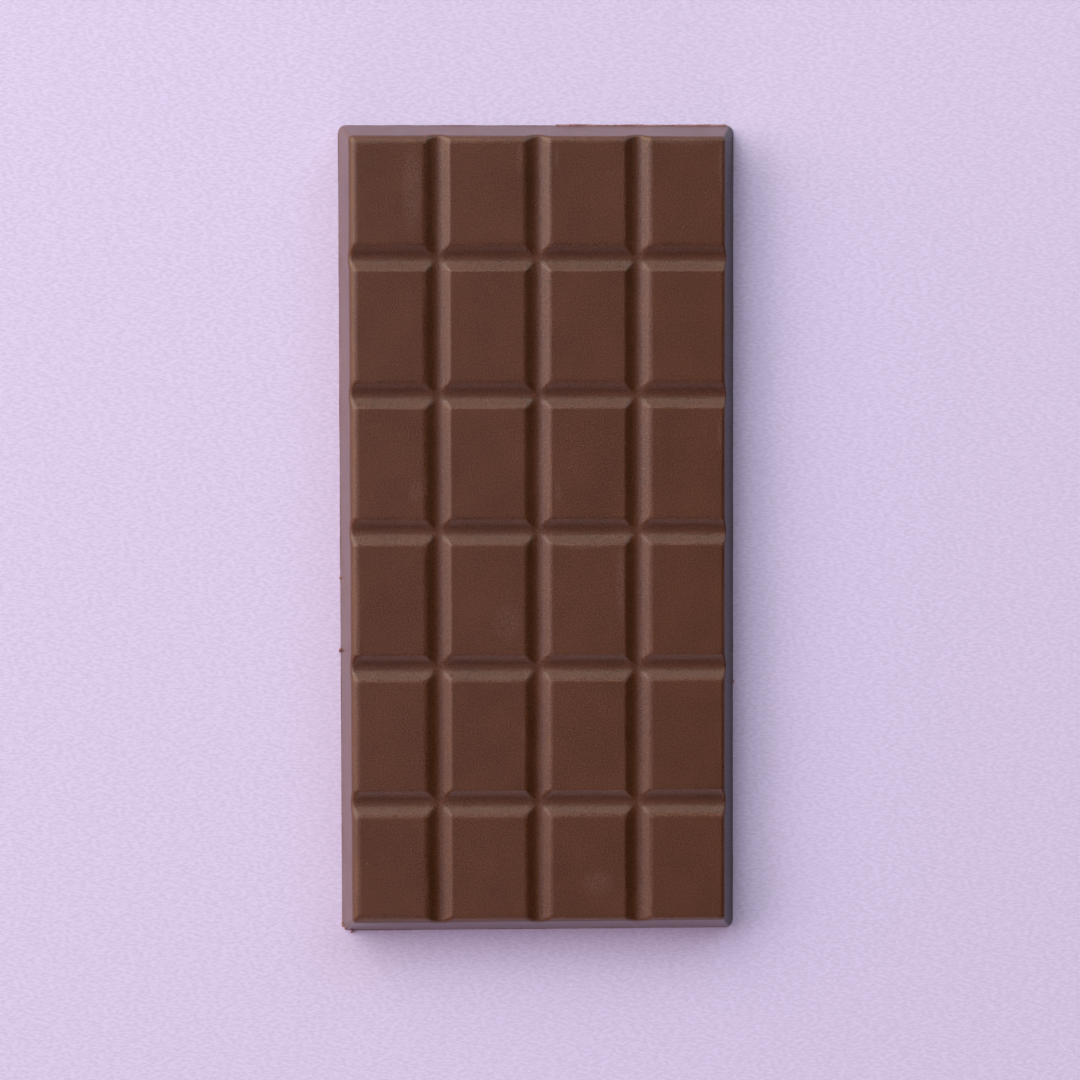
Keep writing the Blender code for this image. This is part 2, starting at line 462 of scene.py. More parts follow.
def moulding_tree():
    tree, sizes, result = new_tree(
        "Mould the bar",
        "GeometryNodeTree",
        [
            ("Geometry", "NodeSocketGeometry", None),
            ("Width", "NodeSocketFloat", WIDTH),
            ("Thickness", "NodeSocketFloat", THICKNESS),
            ("Side Lean", "NodeSocketFloat", SIDE_LEAN),
            ("Rim End", "NodeSocketFloat", RIM_END),
            ("Top Edge Radius", "NodeSocketFloat", TOP_EDGE_RADIUS),
            ("Top Edge Drift", "NodeSocketFloat", TOP_EDGE_DRIFT),
            ("Columns", "NodeSocketInt", COLUMNS),
            ("Column Pitch", "NodeSocketFloat", COLUMN_PITCH),
            ("Column Wall Angle", "NodeSocketFloat", LONG_WALL_ANGLE),
            ("Column Lip Drift", "NodeSocketFloat", LONG_LIP_DRIFT),
            ("Rows", "NodeSocketInt", ROWS),
            ("Row Pitch", "NodeSocketFloat", ROW_PITCH),
            ("Row Wall Angle", "NodeSocketFloat", CROSS_WALL_ANGLE),
            ("Row Lip Drift", "NodeSocketFloat", CROSS_LIP_DRIFT),
            ("Groove Depth", "NodeSocketFloat", GROOVE_DEPTH),
            ("Floor Radius", "NodeSocketFloat", FLOOR_RADIUS),
            ("Lip Radius", "NodeSocketFloat", LIP_RADIUS),
            ("Crossing Softness", "NodeSocketFloat", CROSSING_SOFTNESS),
            ("Edge Wander", "NodeSocketFloat", EDGE_WANDER),
            ("Lip Wander", "NodeSocketFloat", 0.05 * MM),
            ("Swell", "NodeSocketFloat", 0.03 * MM),
            ("Seed", "NodeSocketFloat", 3.0),
            ("Material", "NodeSocketMaterial", None),
        ],
        [("Geometry", "NodeSocketGeometry")],
    )
    position = tree.nodes.new("GeometryNodeInputPosition").outputs[0]
    place = add_node(tree, "ShaderNodeSeparateXYZ", Vector=position).outputs
    inset = named_attribute(tree, "inset", "FLOAT")
    outward = named_attribute(tree, "outward", "FLOAT_VECTOR")

    carve, lip = carved_depth(tree, sizes, place)
    lean_ratio = maths(tree, "DIVIDE", sizes["Side Lean"], sizes["Thickness"])
    slide = slide_outwards(tree, sizes, inset, carve, lean_ratio)
    new_inset = maths(tree, "SUBTRACT", inset, slide)
    swell = wander(tree, TOP_SWELLS, sizes["Swell"], maths(tree, "ADD", sizes["Seed"], 5))
    top = maths(tree, "SUBTRACT", maths(tree, "ADD", sizes["Thickness"], swell), carve)
    height, edge, side = rounded_height(
        tree, sizes, place["X"], new_inset, top, carve, lean_ratio
    )
    geometry = sizes["Geometry"]
    for name, mark in (("lip", lip), ("edge", edge), ("side", side)):
        geometry = add_node(
            tree, "GeometryNodeStoreNamedAttribute", Geometry=geometry, Name=name, Value=mark
        ).outputs["Geometry"]

    moved = add_node(
        tree, "ShaderNodeVectorMath", {"operation": "SCALE"}, Vector=outward, Scale=slide
    )
    lift = add_node(tree, "ShaderNodeCombineXYZ", Z=height)
    travel = add_node(tree, "ShaderNodeVectorMath", {"operation": "ADD"})
    join(tree, travel.inputs[0], moved.outputs["Vector"])
    join(tree, travel.inputs[1], lift.outputs["Vector"])
    mould = add_node(
        tree, "GeometryNodeSetPosition", Geometry=geometry, Offset=travel.outputs["Vector"]
    )
    smooth = add_node(tree, "GeometryNodeSetShadeSmooth", Geometry=mould.outputs["Geometry"])
    dressed = finish_tree(tree, smooth.outputs["Geometry"], sizes["Material"])
    tree.links.new(dressed, result["Geometry"])
    return tree


def finish_tree(tree, geometry, material):
    """The two nodes that every piece's tree ends in."""
    real = add_node(tree, "GeometryNodeRealizeInstances", Geometry=geometry)
    dressed = add_node(
        tree, "GeometryNodeSetMaterial", Geometry=real.outputs["Geometry"], Material=material
    )
    return dressed.outputs["Geometry"]


mould_the_bar = moulding_tree()
print(f"{mould_the_bar.name} has {len(mould_the_bar.nodes)} nodes")

# %% [markdown]
# A piece is finished when its tree has been turned into a plain mesh. This helper
# sets the tree's inputs by name, evaluates the object once, keeps the result as the
# object's own mesh and takes the modifier off.

# %% Turn a tree's result into a plain mesh
def bake_tree(piece, tree, **values):
    """Runs a Geometry Nodes tree on a piece and keeps the result as its mesh."""
    modifier = piece.modifiers.new(tree.name, "NODES")
    modifier.node_group = tree
    identifiers = {
        item.name: item.identifier
        for item in tree.interface.items_tree
        if item.item_type == "SOCKET" and item.in_out == "INPUT"
    }
    for name, value in values.items():
        modifier[identifiers[name.replace("_", " ")]] = value
    depsgraph = bpy.context.evaluated_depsgraph_get()
    mesh = bpy.data.meshes.new_from_object(piece.evaluated_get(depsgraph), depsgraph=depsgraph)
    piece.modifiers.remove(modifier)
    piece.data = mesh
    mesh.name = piece.name
    return piece


# %% [markdown]
# ## Patterns for the finishes
#
# A finish is built from a few small patterns, each a node group with named inputs. The
# same group serves several materials with other values: the mottling of the moulded
# skin is, at another size, the mottling of the broken chocolate. Every pattern reads the
# object's own coordinates, so it is the same size in millimetres on every piece.

# %% Helpers for patterns
MIX_FACTOR, MIX_FIRST, MIX_SECOND, MIX_RESULT = 0, 6, 7, 2  # the colour sockets of a Mix node


def blend(tree, factor, first, second):
    """The first colour, turned into the second where the factor is 1."""
    node = add_node(tree, "ShaderNodeMix", {"data_type": "RGBA"})
    join(tree, node.inputs[MIX_FACTOR], factor)
    join(tree, node.inputs[MIX_FIRST], first)
    join(tree, node.inputs[MIX_SECOND], second)
    return node.outputs[MIX_RESULT]


def shifted_place(tree, seed, place=None):
    """The object's own coordinates, slid by a seed so that two patterns never agree."""
    if place is None:
        place = tree.nodes.new("ShaderNodeTexCoord").outputs["Object"]
    slide = maths(tree, "MULTIPLY", seed, 100 * MM)
    return add_node(tree, "ShaderNodeMapping", Vector=place, Location=slide).outputs["Vector"]


def noise_at(tree, size, seed, detail, place=None):
    """Noise from 0 to 1, whose swells are about the size apart."""
    noise = add_node(
        tree,
        "ShaderNodeTexNoise",
        Vector=shifted_place(tree, seed, place),
        Scale=maths(tree, "DIVIDE", 1, size),
        Detail=detail,
    )
    return noise.outputs["Fac"]


def ramp(tree, value, start, end):
    """Smoothly from 0 where the value is at start to 1 where it is at end."""
    node = add_node(
        tree,
        "ShaderNodeMapRange",
        {"interpolation_type": "SMOOTHSTEP"},
        Value=value,
        From_Min=start,
        From_Max=end,
    )
    return node.outputs["Result"]


def pattern(name, inputs, outputs=("Mask",)):
    """A shader node group with plain number inputs and outputs."""
    return new_tree(
        name,
        "ShaderNodeTree",
        [(label, "NodeSocketFloat", value) for label, value in inputs],
        [(label, "NodeSocketFloat") for label in outputs],
    )


def place_pattern(tree, group, **values):
    """Puts a pattern in a material and returns its outputs."""
    return add_node(tree, "ShaderNodeGroup", {"node_tree": group}, **values).outputs


# %% [markdown]
# Mottling is slow noise with its contrast raised. Grain is the same at a quarter of a
# millimetre. Pits and specks are one pattern: a Voronoi texture puts a point in every
# cell, its distance draws a dot there, and the cell's random colour decides whether the
# cell has a dot at all.

# %% Node groups: mottling, grain and dots
def mottling_group():
    tree, knobs, result = pattern("Mottling", [("Size", 8 * MM), ("Contrast", 3.0), ("Seed", 0.0)])
    noise = noise_at(tree, knobs["Size"], knobs["Seed"], 3.0)
    centred = maths(tree, "SUBTRACT", noise, 0.5)
    spread = maths(tree, "MULTIPLY_ADD", centred, knobs["Contrast"], 0.5, clamp=True)
    tree.links.new(spread, result["Mask"])
    return tree


def dots_group():
    tree, knobs, result = pattern(
        "Dots", [("Spacing", 3 * MM), ("Radius", 0.15 * MM), ("Share", 0.3), ("Seed", 0.0)]
    )
    cells = add_node(
        tree,
        "ShaderNodeTexVoronoi",
        Vector=shifted_place(tree, knobs["Seed"]),
        Scale=maths(tree, "DIVIDE", 1, knobs["Spacing"]),
    )
    random = add_node(tree, "ShaderNodeSeparateColor", Color=cells.outputs["Color"]).outputs
    chosen = maths(tree, "LESS_THAN", random["Red"], knobs["Share"])
    distance = maths(tree, "MULTIPLY", cells.outputs["Distance"], knobs["Spacing"])
    uneven = maths(tree, "MULTIPLY_ADD", random["Green"], 0.7, 0.3)
    radius = maths(tree, "MULTIPLY", knobs["Radius"], uneven)
    dot = ramp(tree, maths(tree, "DIVIDE", distance, radius), 1.0, 0.5)
    tree.links.new(maths(tree, "MULTIPLY", dot, chosen), result["Mask"])
    return tree


mottling = mottling_group()
dots = dots_group()
print(f"Patterns: {mottling.name}, {dots.name}")

# %% [markdown]
# Three more patterns mark wear. Rub takes the mark of an edge that the moulding stored
# and breaks it up, because an edge wears here and there and never evenly. A spot is a
# soft oblong round a place of its own, for a scuff where the bar was touched. A curved
# scratch is a short stretch of a circle's rim with faded ends. Spots and scratches are
# only sums, so a dozen of them cost little; the noise that breaks them up is shared.

# %% Node groups: rub, spot and scratch
def rub_group():
    tree, knobs, result = pattern(
        "Rub", [("Edge", 0.0), ("Size", 6 * MM), ("Share", 0.4), ("Seed", 0.0)]
    )
    noise = noise_at(tree, knobs["Size"], knobs["Seed"], 6.0)
    least = maths(tree, "SUBTRACT", 0.75, maths(tree, "MULTIPLY", knobs["Share"], 0.5))
    worn = ramp(tree, noise, least, maths(tree, "ADD", least, 0.12))
    sharp_edge = maths(tree, "POWER", knobs["Edge"], 2.0)
    tree.links.new(maths(tree, "MULTIPLY", worn, sharp_edge), result["Mask"])
    return tree


def from_centre(tree, knobs):
    """How far a point lies from the knobs' centre, along and across."""
    place = tree.nodes.new("ShaderNodeTexCoord").outputs["Object"]
    parts = add_node(tree, "ShaderNodeSeparateXYZ", Vector=place).outputs
    sideways = maths(tree, "SUBTRACT", parts["X"], knobs["Centre X"])
    lengthways = maths(tree, "SUBTRACT", parts["Y"], knobs["Centre Y"])
    return sideways, lengthways


def sum_of_squares(tree, first, second):
    return maths(tree, "MULTIPLY_ADD", first, first, maths(tree, "MULTIPLY", second, second))


def spot_group():
    tree, knobs, result = pattern(
        "Spot", [("Centre X", 0.0), ("Centre Y", 0.0), ("Reach X", 1 * MM), ("Reach Y", 1 * MM)]
    )
    sideways, lengthways = from_centre(tree, knobs)
    across = maths(tree, "DIVIDE", sideways, knobs["Reach X"])
    along = maths(tree, "DIVIDE", lengthways, knobs["Reach Y"])
    tree.links.new(ramp(tree, sum_of_squares(tree, across, along), 1.0, 0.0), result["Mask"])
    return tree


def scratch_group():
    tree, knobs, result = pattern(
        "Curved scratch",
        [
            ("Centre X", 0.0),
            ("Centre Y", 0.0),
            ("Radius", 4 * MM),
            ("Middle", 0.0),
            ("Span", 0.5),
            ("Push", 0.0),
        ],
    )
    sideways, lengthways = from_centre(tree, knobs)
    distance = maths(tree, "SQRT", sum_of_squares(tree, sideways, lengthways))
    from_rim = maths(tree, "SUBTRACT", maths(tree, "ADD", distance, knobs["Push"]), knobs["Radius"])
    line = ramp(tree, maths(tree, "ABSOLUTE", from_rim), 0.1 * MM, 0.02 * MM)
    angle = maths(tree, "SUBTRACT", maths(tree, "ARCTAN2", lengthways, sideways), knobs["Middle"])
    solid_span = maths(tree, "MULTIPLY", knobs["Span"], 0.5)
    in_span = ramp(tree, maths(tree, "ABSOLUTE", angle), knobs["Span"], solid_span)
    tree.links.new(maths(tree, "MULTIPLY", line, in_span), result["Mask"])
    return tree


rub = rub_group()
spot = spot_group()
curved_scratch = scratch_group()
print(f"Patterns: {rub.name}, {spot.name}, {curved_scratch.name}")

# %% [markdown]
# ## Chocolate
#
# Tempered milk chocolate has a satin skin. Its colour is an even warm brown with a
# faint mottling where milk and cocoa have set a little apart. The leaning sides are
# given a thin polish, which mirrors the table when it's seen at a slant. A coat with a
# mask does that better than a paler colour, because it stays brown when it's seen
# straight on. Even so, the polished sides are also turned up to a quarter of the way to
# a pale mauve: a painted sheen that stands in for more of the table's reflection. The
# right-hand side gets a darker brown and no polish: painted shade, which keeps that side
# as dark as one turned away from the window should look, and a bar for other light
# would do without it.
#
# Edges are rubbed paler here and there, the lips that face the far end carry a painted
# highlight, a fine pale line broken by the grain, and the flats have a few scuffs,
# specks and fine scratches. Each of these is a mask that turns the colour a little, and
# the rubbed and scuffed places are duller too.
#
# The marks are scarce and each lies at its own place, so their places are written out
# one by one, in millimetres from the middle of the bar.

# %% Places of the scuffs and scratches
SCUFFS_MM = {  # middle x, middle y, reach x and reach y
    "first_piece_smear": (-24.2, 66.0, 2.4, 10.5),
    "first_row_touch": (-3.4, 72.2, 0.8, 3.4),
    "second_touch": (3.6, 72.1, 0.7, 2.6),
    "far_corner_line": (29.0, 75.0, 8.5, 0.8),
    "far_side_line": (35.4, 70.5, 0.6, 6.5),
    "third_row_corner": (-23.6, 7.8, 1.7, 2.6),
    "third_row_foot": (3.9, 7.6, 0.9, 2.5),
    "third_row_side_line": (35.2, 18.5, 0.6, 3.6),
    "fourth_row_edge": (15.9, -10.3, 1.2, 9.4),
    "fourth_row_top": (9.5, -2.9, 6.6, 0.7),
    "fourth_row_smear": (-6.0, -17.6, 3.4, 4.6),
    "fifth_row_line": (-2.9, -39.0, 0.5, 2.6),
    "last_row_smear": (11.5, -68.5, 4.0, 2.8),
    "near_left_foot": (-31.0, -75.4, 7.0, 0.9),
}
SCRATCHES_MM = {  # middle x, middle y, radius, then where it lies and how far it reaches
    "last_piece_curve": (31.2, -73.4, 2.9, 0, 38),
    "last_piece_squiggle": (30.0, -66.6, 2.9, -95, 28),
    "second_row_nick": (12.6, 41.4, 2.1, 180, 20),
}
print(f"{len(SCUFFS_MM)} scuffs and {len(SCRATCHES_MM)} scratches")

# %% [markdown]
# The material is put together from those patterns in three steps: the colour, the
# roughness, and the fine relief. The relief is only some hundredths of a millimetre
# deep, which a bump shows well. Anything deeper is in the mesh.

# %% Material: milk chocolate
MILK_BROWN = (0.05, 0.0152, 0.0032, 1)
PALE_MILK_BROWN = (0.133, 0.0455, 0.0167, 1)
# painted sheen: a pale mauve that stands in for the table's reflection on the leaning sides
PAINTED_SHEEN_MAUVE = (0.15, 0.105, 0.12, 1)
# painted shade: the darker brown of the right-hand side, which lies away from the key light
PAINTED_SHADE_BROWN = (0.02, 0.0085, 0.005, 1)
# the paler brown of rubbed edges, and of the painted highlight on the lips that face the far end
RUBBED_AND_GLINT_BROWN = (0.2, 0.083, 0.048, 1)
SCUFFED_GREY = (0.26, 0.18, 0.155, 1)
PIT_BROWN = (0.03, 0.008, 0.004, 1)
SPECK_CREAM = (0.3, 0.2, 0.11, 1)
BASE_ROUGHNESS = 0.31
BASE_IOR = 1.51
POLISH_ROUGHNESS = 0.35
GRAIN_DEPTH = 0.022 * MM
GRAIN_SHARE = 0.8  # of the colour's unevenness; the slow patches make the rest
# the first is how far the polished sides turn to the painted sheen's mauve, the second is their
# coat
PAINTED_SHEEN_STRENGTH, POLISH_COAT = 0.25, 0.75
# the middle strength is that of the painted highlight on the lips that face the far end
RUB_STRENGTH, PAINTED_GLINT_STRENGTH, SCUFF_STRENGTH = 0.22, 0.4, 0.14
PIT_STRENGTH, SPECK_STRENGTH = 0.7, 0.6


def mesh_mark(tree, name):
    """A mark that the moulding stored on the mesh."""
    return add_node(tree, "ShaderNodeAttribute", {"attribute_name": name}).outputs["Fac"]


def facing(tree):
    """Which way the surface faces, in its X, Y and Z parts."""
    normal = tree.nodes.new("ShaderNodeNewGeometry").outputs["Normal"]
    return add_node(tree, "ShaderNodeSeparateXYZ", Vector=normal).outputs


def largest(tree, masks):
    """The strongest of several masks at each point."""
    result = masks[0]
    for mask in masks[1:]:
        result = maths(tree, "MAXIMUM", result, mask)
    return result


def wear_and_glint_masks(tree):
    """The rubbed edges, the painted highlight on the lips that face the far end, and the scuffs and
    scratches.
    """
    crests = maths(tree, "MAXIMUM", mesh_mark(tree, "lip"), mesh_mark(tree, "edge"))
    rubbed = place_pattern(tree, rub, Edge=crests, Size=7 * MM, Share=0.45, Seed=1.0)["Mask"]
    crisp_lip = maths(tree, "POWER", mesh_mark(tree, "lip"), 3.0)
    # painted highlight: a fine pale line on the crisp lips that face the far end, towards the key
    # light
    painted_glint = maths(tree, "MULTIPLY", crisp_lip, ramp(tree, facing(tree)["Y"], 0.01, 0.12))
    spots = []
    for middle_x, middle_y, reach_x, reach_y in SCUFFS_MM.values():
        places = {"Centre_X": middle_x * MM, "Centre_Y": middle_y * MM}
        reaches = {"Reach_X": reach_x * MM, "Reach_Y": reach_y * MM}
        spots.append(place_pattern(tree, spot, **places, **reaches)["Mask"])
    streaks = place_pattern(tree, mottling, Size=0.3 * MM, Contrast=7.0, Seed=4.0)["Mask"]
    scuffed = maths(tree, "MULTIPLY", largest(tree, spots), streaks)
    slow_noise = place_pattern(tree, mottling, Size=2 * MM, Contrast=1.0, Seed=6.0)["Mask"]
    push = maths(tree, "MULTIPLY_ADD", slow_noise, 1 * MM, -0.5 * MM)
    scratches = []
    for middle_x, middle_y, radius, middle, span in SCRATCHES_MM.values():
        places = {"Centre_X": middle_x * MM, "Centre_Y": middle_y * MM, "Radius": radius * MM}
        angles = {"Middle": math.radians(middle), "Span": math.radians(span)}
        scratch = place_pattern(tree, curved_scratch, Push=push, **places, **angles)
        scratches.append(scratch["Mask"])
    return rubbed, painted_glint, maths(tree, "MAXIMUM", scuffed, largest(tree, scratches))


def polish_and_painted_side_masks(tree):
    """The polish and painted sheen of the leaning sides, and the painted shade of the right-hand
    side, which goes without them.
    """
    side = mesh_mark(tree, "side")
    parts = facing(tree)
    # painted shade: the right-hand side, which faces away from the key light, is marked to turn
    # darker
    painted_shade = maths(tree, "MULTIPLY", side, ramp(tree, parts["X"], 0.2, 0.7))
    patches = place_pattern(tree, mottling, Size=5 * MM, Contrast=2.5, Seed=3.0)["Mask"]
    uneven = maths(tree, "MULTIPLY_ADD", patches, 0.3, 0.82)
    less_at_far_end = maths(tree, "MULTIPLY_ADD", parts["Y"], -0.22, uneven)
    unshaded = maths(tree, "SUBTRACT", side, painted_shade)
    polish_and_painted_sheen = maths(tree, "MULTIPLY", unshaded, less_at_far_end, clamp=True)
    return polish_and_painted_sheen, painted_shade


def chocolate_material():
    material = bpy.data.materials.new("milk_chocolate")
    material.use_nodes = True
    tree = material.node_tree
    shader = tree.nodes["Principled BSDF"]
    shader.inputs["IOR"].default_value = BASE_IOR
    shader.inputs["Coat Roughness"].default_value = POLISH_ROUGHNESS

    patches = place_pattern(tree, mottling, Size=9 * MM, Contrast=2.6, Seed=0.0)["Mask"]
    grain = place_pattern(tree, mottling, Size=0.25 * MM, Contrast=5.0, Seed=1.0)["Mask"]
    pits, specks = (
        place_pattern(tree, dots, Spacing=spacing, Radius=0.16 * MM, Share=share, Seed=seed)["Mask"]
        for spacing, share, seed in ((3.2 * MM, 0.22, 2.0), (2.2 * MM, 0.2, 5.0))
    )
    rubbed, painted_glint, scuffed = wear_and_glint_masks(tree)
    polish_and_painted_sheen, painted_shade = polish_and_painted_side_masks(tree)

    slow_shade = maths(tree, "MULTIPLY", patches, 1 - GRAIN_SHARE)
    shade = maths(tree, "MULTIPLY_ADD", grain, GRAIN_SHARE, slow_shade)
    colour = blend(tree, shade, MILK_BROWN, PALE_MILK_BROWN)
    # painted sheen: the polished sides turn a little towards mauve, for the table's reflection
    colour = blend(tree, maths(tree, "MULTIPLY", polish_and_painted_sheen, PAINTED_SHEEN_STRENGTH), colour, PAINTED_SHEEN_MAUVE)
    # painted shade: the right-hand side turns darker brown
    colour = blend(tree, painted_shade, colour, PAINTED_SHADE_BROWN)
    colour = blend(tree, maths(tree, "MULTIPLY", rubbed, RUB_STRENGTH), colour, RUBBED_AND_GLINT_BROWN)
    # painted highlight on the lips that face the far end, broken by the grain
    grainy = maths(tree, "MULTIPLY_ADD", grain, PAINTED_GLINT_STRENGTH, PAINTED_GLINT_STRENGTH / 4)
    broken_glint = maths(tree, "MULTIPLY", painted_glint, grainy)
    colour = blend(tree, broken_glint, colour, RUBBED_AND_GLINT_BROWN)
    colour = blend(tree, maths(tree, "MULTIPLY", scuffed, SCUFF_STRENGTH), colour, SCUFFED_GREY)
    colour = blend(tree, maths(tree, "MULTIPLY", pits, PIT_STRENGTH), colour, PIT_BROWN)
    colour = blend(tree, maths(tree, "MULTIPLY", specks, SPECK_STRENGTH), colour, SPECK_CREAM)
    join(tree, shader.inputs["Base Color"], colour)
    join(tree, shader.inputs["Coat Weight"], maths(tree, "MULTIPLY", polish_and_painted_sheen, POLISH_COAT))

    dullness = maths(tree, "MULTIPLY_ADD", patches, 0.03, BASE_ROUGHNESS)
    dullness = maths(tree, "MULTIPLY_ADD", rubbed, 0.12, dullness)
    dullness = maths(tree, "MULTIPLY_ADD", scuffed, 0.15, dullness)
    join(tree, shader.inputs["Roughness"], dullness)

    bump = add_node(tree, "ShaderNodeBump", Strength=1.0, Distance=GRAIN_DEPTH, Height=grain)
    join(tree, shader.inputs["Normal"], bump.outputs["Normal"])
    return material


milk_chocolate = chocolate_material()
print(f"{milk_chocolate.name} has {len(milk_chocolate.node_tree.nodes)} nodes")

# %% [markdown]
# Now the rule is run on the lattice. Only the rim round the underside turns by more
# than 45 degrees, so it alone stays crisp and everything else is shaded smooth. The bar
# wears its finish, the solid it stands in for is hidden, and the bar is hung on its body
# so that it moves with it.

# %% Mould the bar
bake_tree(moulded_bar, mould_the_bar, Material=milk_chocolate)
moulded_bar.data.set_sharp_from_angle(angle=math.radians(45))
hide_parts("chocolate_bar")
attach(moulded_bar, "root")
print(f"The moulded bar has {len(moulded_bar.data.polygons)} faces")

# %% [markdown]
# ## Flash
#
# Chocolate that creeps under the mould's rim sets as a thin ragged skirt round the foot
# of the bar. Most of it snaps off, and a reddish rim is left, widest at the far end.
# Geometry Nodes draw the bar's outline as a curve, let noise say how far the skirt
# still reaches at each point, and sweep a small round section along it, which is then
# pressed flat against the table.

# %% Node tree: flash round the foot
FLASH_SWELLS = 9 * MM  # how far apart the wide stretches of the skirt are
FLASH_TEETH = 0.6 * MM  # how far apart the small breaks in its rim are
LEAST_SKIRT = 0.01 * MM
RAGGED_START = 4 * MM  # the ragged stretch of the far end runs right from here


def pressed_flat(tree, geometry, squash, lift):
    """Squashes and lifts a shape, and keeps every point of it above the table."""
    spot = tree.nodes.new("GeometryNodeInputPosition").outputs[0]
    parts = add_node(tree, "ShaderNodeSeparateXYZ", Vector=spot).outputs
    height = maths(tree, "MAXIMUM", maths(tree, "MULTIPLY_ADD", parts["Z"], squash, lift), 0)
    pressed = add_node(tree, "ShaderNodeCombineXYZ", X=parts["X"], Y=parts["Y"], Z=height)
    press = add_node(
        tree, "GeometryNodeSetPosition", Geometry=geometry, Position=pressed.outputs["Vector"]
    )
    return press.outputs["Geometry"]


def flash_tree():
    tree, sizes, result = new_tree(
        "Flash",
        "GeometryNodeTree",
        [
            ("Geometry", "NodeSocketGeometry", None),
            ("Width", "NodeSocketFloat", WIDTH),
            ("Length", "NodeSocketFloat", LENGTH),
            ("Corner Radius", "NodeSocketFloat", BOTTOM_CORNER_RADIUS),
            ("Step", "NodeSocketFloat", 0.3 * MM),
            ("Sides", "NodeSocketInt", 7),
            ("Least Reach", "NodeSocketFloat", 0.1 * MM),
            ("Far End Reach", "NodeSocketFloat", 0.24 * MM),
            ("Height", "NodeSocketFloat", 0.11 * MM),
            ("Flatness", "NodeSocketFloat", 0.3),
            ("Seed", "NodeSocketFloat", 11.0),
            ("Material", "NodeSocketMaterial", None),
        ],
        [("Geometry", "NodeSocketGeometry")],
    )
    outline = add_node(
        tree,
        "GeometryNodeCurvePrimitiveQuadrilateral",
        Width=sizes["Width"],
        Height=sizes["Length"],
    )
    rounded_outline = add_node(
        tree,
        "GeometryNodeFilletCurve",
        Curve=outline.outputs["Curve"],
        Radius=sizes["Corner Radius"],
    )
    join(tree, rounded_outline.inputs["Limit Radius"], False)
    steps = add_node(
        tree,
        "GeometryNodeResampleCurve",
        {"mode": "LENGTH"},
        Curve=rounded_outline.outputs["Curve"],
        Length=sizes["Step"],
    )
    place = add_node(
        tree,
        "ShaderNodeSeparateXYZ",
        Vector=tree.nodes.new("GeometryNodeInputPosition").outputs[0],
    ).outputs
    slow = wander(tree, FLASH_SWELLS, 0.5, sizes["Seed"])
    ragged = wander(tree, FLASH_TEETH, 0.5, maths(tree, "ADD", sizes["Seed"], 1))
    near_the_end = maths(tree, "MULTIPLY_ADD", sizes["Length"], 0.5, -1 * MM)
    at_far_end = maths(tree, "GREATER_THAN", place["Y"], near_the_end)
    right_half = maths(tree, "GREATER_THAN", place["X"], RAGGED_START)
    ragged_here = maths(tree, "MULTIPLY", at_far_end, right_half)
    mostly = maths(tree, "MULTIPLY_ADD", ragged_here, 0.5, 0.1)
    share = maths(tree, "MULTIPLY_ADD", ragged, 0.8, maths(tree, "ADD", slow, mostly), clamp=True)
    wide = maths(tree, "MULTIPLY", ragged_here, sizes["Far End Reach"])
    most = maths(tree, "ADD", wide, sizes["Least Reach"])
    reach = maths(tree, "MULTIPLY_ADD", most, share, LEAST_SKIRT)
    section = add_node(
        tree, "GeometryNodeCurvePrimitiveCircle", Resolution=sizes["Sides"], Radius=1.0
    )
    skirt = add_node(
        tree,
        "GeometryNodeCurveToMesh",
        Curve=steps.outputs["Curve"],
        Profile_Curve=section.outputs["Curve"],
        Scale=reach,
    )
    flat = pressed_flat(tree, skirt.outputs["Mesh"], sizes["Flatness"], sizes["Height"])
    smooth = add_node(tree, "GeometryNodeSetShadeSmooth", Geometry=flat)
    dressed = finish_tree(tree, smooth.outputs["Geometry"], sizes["Material"])
    tree.links.new(dressed, result["Geometry"])
    return tree


# %% [markdown]
# Thin and freshly broken chocolate looks redder and duller than the moulded skin, so
# the flash and the crumbs have their own material. It uses the same patterns.

# %% Material: broken chocolate
BROKEN_RED = (0.2, 0.085, 0.07, 1)
BROKEN_GREY = (0.36, 0.22, 0.23, 1)


def broken_material():
    material = bpy.data.materials.new("broken_chocolate")
    material.use_nodes = True
    tree = material.node_tree
    shader = tree.nodes["Principled BSDF"]
    shader.inputs["IOR"].default_value = BASE_IOR
    patches = place_pattern(tree, mottling, Size=1.6 * MM, Contrast=4.0, Seed=7.0)["Mask"]
    grain = place_pattern(tree, mottling, Size=0.2 * MM, Contrast=2.0, Seed=8.0)["Mask"]
    holes = place_pattern(tree, dots, Spacing=0.5 * MM, Radius=0.12 * MM, Share=0.3, Seed=9.0)
    pits = holes["Mask"]
    colour = blend(tree, patches, BROKEN_RED, BROKEN_GREY)
    colour = blend(tree, maths(tree, "MULTIPLY", pits, 0.6), colour, PIT_BROWN)
    join(tree, shader.inputs["Base Color"], colour)
    join(tree, shader.inputs["Roughness"], maths(tree, "MULTIPLY_ADD", grain, 0.2, 0.5))
    bump = add_node(tree, "ShaderNodeBump", Strength=1.0, Distance=0.02 * MM, Height=grain)
    join(tree, shader.inputs["Normal"], bump.outputs["Normal"])
    return material


broken_chocolate = broken_material()


def empty_piece(name):
    """An object with an empty mesh, for a tree to fill."""
    piece = bpy.data.objects.new(name, bpy.data.meshes.new(name))
    bpy.context.scene.collection.objects.link(piece)
    return piece


def keep_piece(piece):
    """Hangs a finished piece of chocolate on the root body and prints how many faces it has."""
    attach(piece, "root")
    print(f"{piece.name} has {len(piece.data.polygons)} faces")


foot_flash = bake_tree(empty_piece("foot_flash"), flash_tree(), Material=broken_chocolate)
keep_piece(foot_flash)

